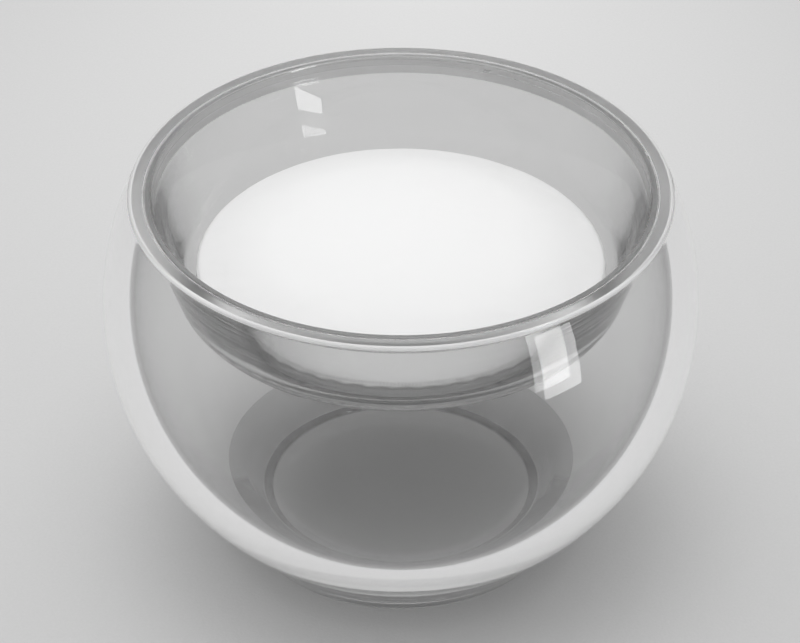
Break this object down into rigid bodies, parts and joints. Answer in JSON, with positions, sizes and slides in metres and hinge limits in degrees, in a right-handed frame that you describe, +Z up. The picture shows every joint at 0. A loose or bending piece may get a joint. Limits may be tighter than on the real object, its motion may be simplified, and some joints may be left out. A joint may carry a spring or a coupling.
{
  "type": "baby bed",
  "caption": "Clear acrylic bubble baby bed on a conical ring, with a lift-out clear bowl that carries a round white mattress and storage room underneath.",
  "frame": {"origin": "on the floor, under the middle of the ring", "axes": "+Z up along the axis that everything is turned about, +X and +Y along the floor"},
  "size_m": [0.8798, 0.8796, 0.598],
  "materials": {
    "clear_acrylic": "clear, polished",
    "clear_silicone": "translucent, satin",
    "foam": "open cell, matte",
    "white_cotton": "soft brushed cotton, matte"
  },
  "bodies": {
    "stand": {"outer_shell": "clear_acrylic", "base_ring": "clear_acrylic", "foot_strip": "clear_silicone", "seat_gasket": "clear_silicone"},
    "bowl": {"inner_bowl": "clear_acrylic"},
    "mattress": {"mattress_core": "foam", "mattress_top_cover": "white_cotton", "mattress_under_cover": "white_cotton"}
  },
  "joints": [
    {"name": "bowl_lift", "type": "slide", "parent": "stand", "child": "bowl", "axis": [0, 0, 1], "range_m": [0, 0.28]},
    {"name": "mattress_lift", "type": "slide", "parent": "bowl", "child": "mattress", "axis": [0, 0, 1], "range_m": [0, 0.26]}
  ]
}
